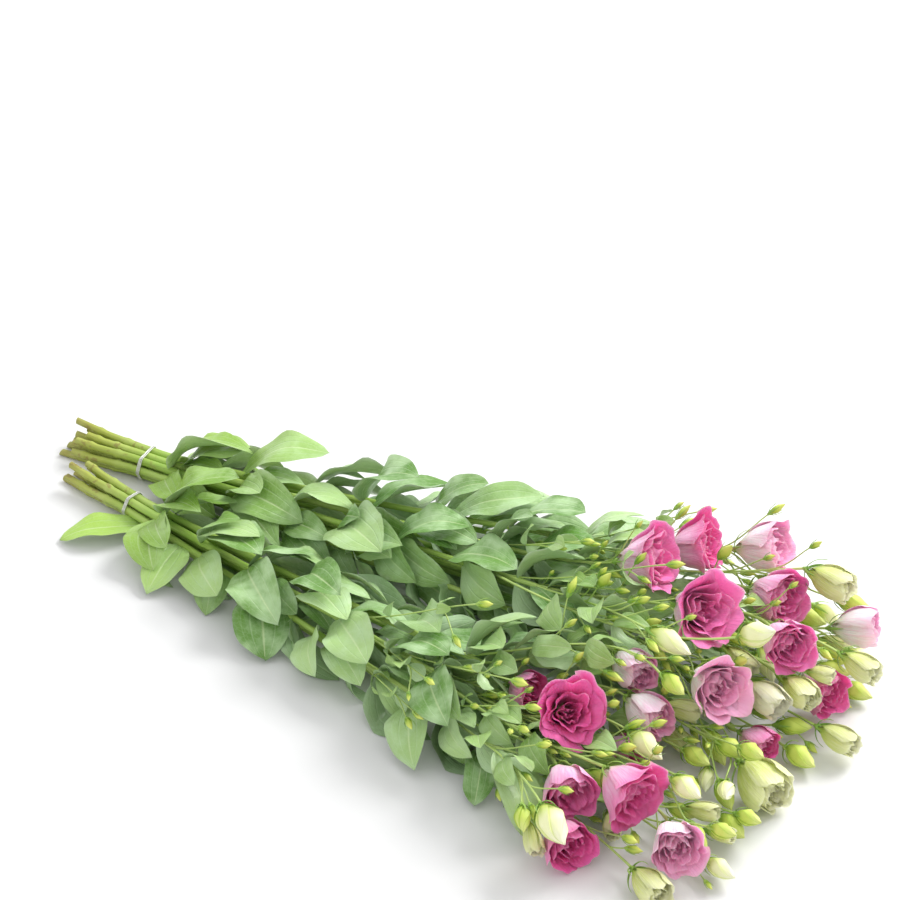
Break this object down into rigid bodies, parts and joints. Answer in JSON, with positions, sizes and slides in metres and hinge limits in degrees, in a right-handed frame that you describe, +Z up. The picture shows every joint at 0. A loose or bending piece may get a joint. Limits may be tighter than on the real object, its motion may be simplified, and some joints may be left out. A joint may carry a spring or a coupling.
{
  "type": "tied lisianthus bunch",
  "caption": "Cut lisianthus stems lying in two tied hands, with opposite grey-green leaves, pink and magenta rose-like double flowers and pale twisted buds.",
  "frame": {"origin": "on the surface that the bunch lies on, under the middle of its bounding box", "axes": "+X along the bunch from the cut ends to the flowers, +Y to the side of the larger hand, +Z up from the surface"},
  "size_m": [0.7672, 0.4036, 0.1237],
  "materials": {
    "foliage": "living stem and leaf: satin grey-green leaf with paler nerves, yellower stem, soft waxy sheen",
    "petal_pink": "thin pink petal, darker veins, matt and slightly translucent",
    "petal_magenta": "thin magenta petal, lighter outside, matt and slightly translucent",
    "petal_pale": "thin pale pink petal, pink edges, matt and slightly translucent",
    "bud_green": "closed or half-open bud, yellow-green with paler petal edges, satin",
    "bud_cream": "closed or half-open bud, cream white with a green base, satin",
    "tie": "thin white elastic band, matt"
  },
  "bodies": {
    "root": {"stem_back_1": "foliage", "stem_back_2": "foliage", "stem_back_3": "foliage", "stem_back_4": "foliage", "stem_back_5": "foliage", "stem_back_6": "foliage", "stem_back_7": "foliage", "stem_back_8": "foliage", "stem_back_9": "foliage", "stem_back_10": "foliage", "stem_front_1": "foliage", "stem_front_2": "foliage", "stem_front_3": "foliage", "stem_front_4": "foliage", "stem_front_5": "foliage", "stem_front_6": "foliage", "stem_front_7": "foliage", "flower_01": "petal_pink", "flower_02": "petal_magenta", "flower_03": "petal_pink", "flower_04": "petal_pale", "flower_05": "petal_pink", "flower_06": "petal_pale", "flower_07": "petal_pink", "flower_08": "petal_pale", "flower_09": "petal_magenta", "flower_10": "petal_pale", "flower_11": "petal_pale", "flower_12": "petal_magenta", "flower_13": "petal_magenta", "flower_14": "petal_pink", "flower_15": "petal_magenta", "flower_16": "petal_pale", "flower_17": "petal_magenta", "flower_18": "petal_pink", "flower_19": "petal_magenta", "bud_01": "bud_green", "bud_02": "bud_cream", "bud_03": "bud_green", "bud_04": "bud_cream", "bud_05": "bud_cream", "bud_06": "bud_green", "bud_07": "bud_green", "bud_08": "bud_green", "bud_09": "bud_cream", "bud_10": "bud_cream", "bud_11": "bud_cream", "bud_12": "bud_green", "bud_13": "bud_cream", "bud_14": "bud_green", "bud_15": "bud_green", "bud_16": "bud_green", "bud_17": "bud_green", "bud_18": "bud_green", "bud_19": "bud_green", "bud_20": "bud_green", "tie_back": "tie", "tie_front": "tie"}
  },
  "joints": []
}
